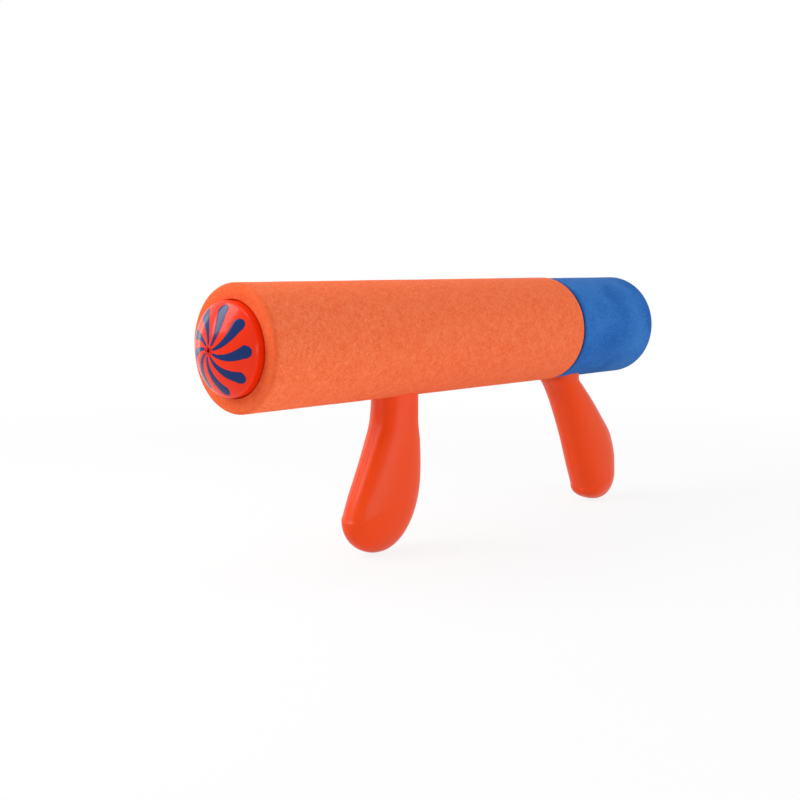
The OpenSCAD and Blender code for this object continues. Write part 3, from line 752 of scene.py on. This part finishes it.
def makeJet():
    seat = math.sqrt(innerDomeR ** 2 - jet["collarR"] ** 2) - domeR
    back = seat - jet["collar"]
    corners = [(0, jet["bore"], jet["mouthEase"]), (0, jet["radius"], jet["rimEase"]),
               (seat, jet["radius"], 0), (seat, jet["collarR"], jet["collarEase"]),
               (back, jet["collarR"], jet["collarEase"]), (back, jet["radius"], 0),
               (-jet["length"], jet["radius"], jet["endEase"]), (-jet["length"], jet["bore"], 0)]
    bm = turnedShape(corners, jet["around"])
    newPiece("nozzle_jet_bush", bm, "barrel", "jet_plastic", "nozzle_jet")


makeCap()
makePetals()
makeJet()
print("nozzle made")


# End plug: a flanged disc with an eased rim, a shallow dish and a moulded ring groove
endPlug = {"flange": 3, "plug": 10, "rim": 0.8, "fit": 0.1, "flangeEase": 0.2, "plugEase": 0.8,
           "dishR": 19, "dish": 0.6, "dishSlope": 0.8, "dishEase": 0.5, "dishRim": 0.3,
           "grooveR": 11, "groove": 0.5, "grooveWide": 1.6, "grooveEase": 0.15}


def makeEndPlug():
    plugR = nozzle["boreR"] - endPlug["fit"]
    floor = plugFace + endPlug["dish"]
    deep = floor + endPlug["groove"]
    near, ease = endPlug["grooveR"], endPlug["grooveEase"]
    far = near + endPlug["grooveWide"]
    flange = plugFace + endPlug["flange"]
    front = flange + endPlug["plug"]
    corners = [(floor, 0, 0), (floor, near, ease), (deep, near + 2 * ease, ease),
               (deep, far - 2 * ease, ease), (floor, far, ease),
               (floor, endPlug["dishR"], endPlug["dishEase"]),
               (plugFace, endPlug["dishR"] + endPlug["dishSlope"], endPlug["dishRim"]),
               (plugFace, flangeR, endPlug["rim"]), (flange, flangeR, endPlug["flangeEase"]),
               (flange, plugR, 0), (front, plugR, endPlug["plugEase"]), (front, 0, 0)]
    newPiece("grip_end_plug", turnedShape(corners), "plunger", "handle_plastic", "grip_end_cap")


makeEndPlug()
print("end plug made")


# Plunger: a rod of four ribs on a round core, the guide it slides in and the spool it is pinned to
rod = {"rib": 3, "coreR": 5.5, "coreSteps": 10, "ease": 0.45, "easeSteps": 3, "easeAngle": 60,
       "boltR": 2.6, "boltDeep": 20.1, "pinR": 2.1, "slide": 0.3, "glue": 0.1, "past": 1}
guide = {"flange": 3, "fit": 0.1, "rim": 0.7, "flangeEase": 0.3, "frontEase": 0.6, "mouth": 0.5,
         "screws": 3, "screwR": 1.5, "screwTurn": 45, "screwIn": 12}
spool = {"plate": 3, "socketR": 15.5, "floor": 2, "rim": 0.7, "plateEase": 0.3, "rearEase": 0.4,
         "boreEase": 0.3, "socketEase": 0.5, "mouth": 0.3, "pinTurn": 45}


# The rod's cross between two places along X, grown by a fit, or by one fit at each end
def crossBar(start, end, fit, endFit=None):
    bm = bmesh.new()
    first = bm.faces.new([bm.verts.new(point) for point in crossPoints(start, fit)])
    grown = bmesh.ops.extrude_face_region(bm, geom=[first])["geom"]
    bmesh.ops.translate(bm, verts=vertsOf(grown), vec=((end - start) * mm, 0, 0))
    if endFit is not None:
        points, flared = crossPoints(end, fit), crossPoints(end, endFit)
        for vert in vertsOf(grown):
            near = min(points, key=lambda point: (point - vert.co).length)
            vert.co = flared[points.index(near)]
    bmesh.ops.recalc_face_normals(bm, faces=bm.faces[:])
    return bm


def crossPoints(x, fit):
    rib, coreR = rod["rib"] + 2 * fit, rod["coreR"] + fit
    step = math.degrees(math.asin(rib / 2 / coreR))
    quarter = [(rodHalf + fit, -rib / 2, 0), (rodHalf + fit, rib / 2, 0),
               *arcPoints(0, 0, coreR, step, 90 - step, rod["coreSteps"])]
    turns = [Matrix.Rotation(math.pi / 2 * k, 3, "X") for k in range(4)]
    return [turn @ Vector((x, y, z)) * mm for turn in turns for y, z, _ in quarter]


# The hole for the pin, across the rod and the spool
def pinBar():
    place = Matrix.Translation(((rodLow.x + coreHigh.x) / 2, 0, 0))
    turn = Matrix.Rotation(math.radians(spool["pinTurn"]), 4, "X")
    turn = turn @ Matrix.Rotation(math.pi / 2, 4, "Z")
    reach = tubeR + rod["past"]
    return roundBar(-reach, reach, rod["pinR"], place @ turn)


def makeRod():
    rear, front = rodLow.x / mm, rodHigh.x / mm
    bm = crossBar(rear, front, 0)
    sharp = math.radians(rod["easeAngle"])
    edges = [edge for edge in bm.edges if edge.is_convex and edge.calc_face_angle(0) > sharp]
    easeEdges(bm, edges, rod["ease"], rod["easeSteps"])
    piece = newPiece("plunger_rod_cross", bm, "plunger", "white_plastic", "plunger_rod")
    carve(piece, roundBar(front - rod["boltDeep"], front + rod["past"], rod["boltR"]))
    carve(piece, pinBar())


def makeGuide():
    rear, front, bodyR = guideLow.x / mm, guideHigh.x / mm, nozzle["boreR"] - guide["fit"]
    flange = rear + guide["flange"]
    corners = [(rear, 0, 0), (rear, flangeR, guide["rim"]), (flange, flangeR, guide["flangeEase"]),
               (flange, bodyR, 0), (front, bodyR, guide["frontEase"]), (front, 0, 0)]
    bm = turnedShape(corners)
    piece = newPiece("rear_guide_flange", bm, "barrel", "handle_plastic", "rear_guide")
    past, slide, mouth = rod["past"], rod["slide"], guide["mouth"]
    carve(piece, crossBar(rear - past, front + past, slide))
    carve(piece, crossBar(rear + mouth, rear - past, slide, slide + mouth + past))
    middle = (flange + front) / 2 * mm
    for k in range(guide["screws"]):
        angle = math.radians(guide["screwTurn"] + 360 / guide["screws"] * k)
        radial = Matrix.Translation((middle, 0, 0)) @ Matrix.Rotation(angle, 4, "X")
        radial = radial @ Matrix.Rotation(-math.pi / 2, 4, "Y")
        carve(piece, roundBar(guide["screwIn"], tubeR, guide["screwR"], radial))


def makeSpool():
    rear, front, back = coreLow.x / mm, coreHigh.x / mm, rodLow.x / mm - spool["floor"]
    plate = front - spool["plate"]
    corners = [(front, 0, 0), (front, flangeR, spool["rim"]), (plate, flangeR, spool["plateEase"]),
               (plate, tubeR, 0), (rear, tubeR, spool["rearEase"]),
               (rear, nozzle["boreR"], spool["boreEase"]), (plate, nozzle["boreR"], 0),
               (plate, spool["socketR"], 0), (back, spool["socketR"], spool["socketEase"]),
               (back, 0, 0)]
    bm = turnedShape(corners)
    piece = newPiece("grip_core_spool", bm, "plunger", "handle_plastic", "grip_core")
    past, glue, mouth = rod["past"], rod["glue"], spool["mouth"]
    carve(piece, crossBar(rodLow.x / mm - glue, front + past, glue))
    carve(piece, crossBar(front - mouth, front + past, glue, glue + mouth + past))
    carve(piece, pinBar())


makeRod()
makeGuide()
makeSpool()
print("plunger made")


# Studio: white to the eye, and a plain fill on the object
fill = 0.45


def makeWorld():
    world = bpy.data.worlds.new("studio")
    bpy.context.scene.world = world
    world.use_nodes = True
    nodes = NodeTree(world.node_tree)
    back = nodes.tree.nodes["Background"]
    plug(nodes.tree, back.inputs["Color"], (1, 1, 1, 1))
    plug(nodes.tree, back.inputs["Strength"], nodes.seen() * (1 - fill) + fill)


# Floor just under the part: size and reach in metres, gap and grain in mm
paleFloor = {"size": 60.0, "gap": 0.2, "pale": (0.9, 0.9, 0.9, 1), "deep": (0.88, 0.88, 0.88, 1),
             "grain": 40, "roughness": 0.9, "specular": 0.0,
             "glow": (0.86, 1.0), "glowReach": (0.25, 0.8)}


def makeFloor():
    bm = bmesh.new()
    bmesh.ops.create_grid(bm, x_segments=2, y_segments=2, size=paleFloor["size"] / 2)
    bmesh.ops.translate(bm, verts=bm.verts[:], vec=(0, 0, cadBox[0].z - paleFloor["gap"] * mm))
    floor = plainObject("floor", bm)
    floor.data.materials.append(floorFinish())


# White to the eye and in reflections, most of all away from the object, whose shadow shows on it
def floorFinish():
    finish = Finish("paleFloor")
    middle = (cadBox[0] + cadBox[1]) / 2
    values = {0: finish.place, 1: (middle.x, middle.y, 0)}
    away = finish.node("ShaderNodeVectorMath", {"operation": "DISTANCE"}, values, "Value")
    near, far = paleFloor["glowReach"]
    low, high = paleFloor["glow"]
    values = {"Value": away, "From Min": near, "From Max": far, "To Min": low, "To Max": high}
    glowShare = finish.node("ShaderNodeMapRange", {"interpolation_type": "SMOOTHSTEP"}, values)
    grain = finish.noise(paleFloor["grain"], detail=3.0)
    finish.set(Base_Color=finish.mix(grain, paleFloor["pale"], paleFloor["deep"]),
               Roughness=paleFloor["roughness"], Specular_IOR_Level=paleFloor["specular"])
    plain = Wire(finish.tree, finish.surface.outputs["BSDF"])
    glow = finish.node("ShaderNodeEmission")
    values = {"Fac": finish.seen() * glowShare, 1: plain, 2: glow}
    blend = finish.node("ShaderNodeMixShader", None, values)
    plug(finish.tree, finish.tree.nodes["Material Output"].inputs["Surface"], blend)
    return finish.material


# Softboxes: places and sizes in metres, roll in degrees, level as brightness of the face
lamps = [
    {"name": "sideSoftbox", "at": (-0.27, 0.9, 0.03), "to": (-0.17, 0, -0.05),
     "size": (1.4, 0.28), "level": 3.1, "roll": 0},
    {"name": "noseSoftbox", "at": (0.313, -0.282, 0.379), "to": (0, 0, 0),
     "size": (0.36, 0.48), "level": 6, "roll": 25},
    {"name": "topSoftbox", "at": (-0.1, 0.05, 1.0), "to": (-0.15, 0, 0),
     "size": (0.7, 0.4), "level": 2.2, "roll": 0},
    {"name": "rimSoftbox", "at": (0.05, -0.95, 0.1), "to": (-0.17, 0, -0.03),
     "size": (0.2, 0.6), "level": 2.0, "roll": 0},
    {"name": "rearSoftbox", "at": (-1.15, -0.5, 0.35), "to": (-0.3, 0, -0.03),
     "size": (0.5, 0.5), "level": 2.6, "roll": 0},
]


def makeLamp(lamp):
    light = bpy.data.lights.new(lamp["name"], "AREA")
    light.shape = "RECTANGLE"
    light.size, light.size_y = lamp["size"]
    light.energy = lamp["level"] * math.pi * light.size * light.size_y
    holder = bpy.data.objects.new(lamp["name"], light)
    holder.location = lamp["at"]
    aim = (Vector(lamp["to"]) - Vector(lamp["at"])).to_track_quat("-Z", "Y").to_matrix()
    roll = Matrix.Rotation(math.radians(lamp["roll"]), 3, "Z")
    holder.rotation_euler = (aim @ roll).to_euler()
    holder.visible_camera = False
    bpy.context.scene.collection.objects.link(holder)


# Camera as fitted to the photograph; the shift is half a pixel
photoCamera = {"at": (0.339237, 0.448392, 0.041158), "look": (-0.718979, -0.685298, -0.115908),
               "lens": 53.151, "sensor": 36, "shift": 0.5 / 800, "clip": (0.01, 200)}


def makeCamera():
    lens = bpy.data.cameras.new("photoCamera")
    lens.lens = photoCamera["lens"]
    lens.sensor_width = photoCamera["sensor"]
    lens.shift_x = -photoCamera["shift"]
    lens.shift_y = photoCamera["shift"]
    lens.clip_start, lens.clip_end = photoCamera["clip"]
    camera = bpy.data.objects.new("photoCamera", lens)
    camera.location = photoCamera["at"]
    camera.rotation_euler = Vector(photoCamera["look"]).to_track_quat("-Z", "Y").to_euler()
    bpy.context.scene.collection.objects.link(camera)
    bpy.context.scene.camera = camera


bpy.context.scene.view_settings.view_transform = "Standard"
makeWorld()
makeFloor()
for lamp in lamps:
    makeLamp(lamp)
makeCamera()
print("studio made")
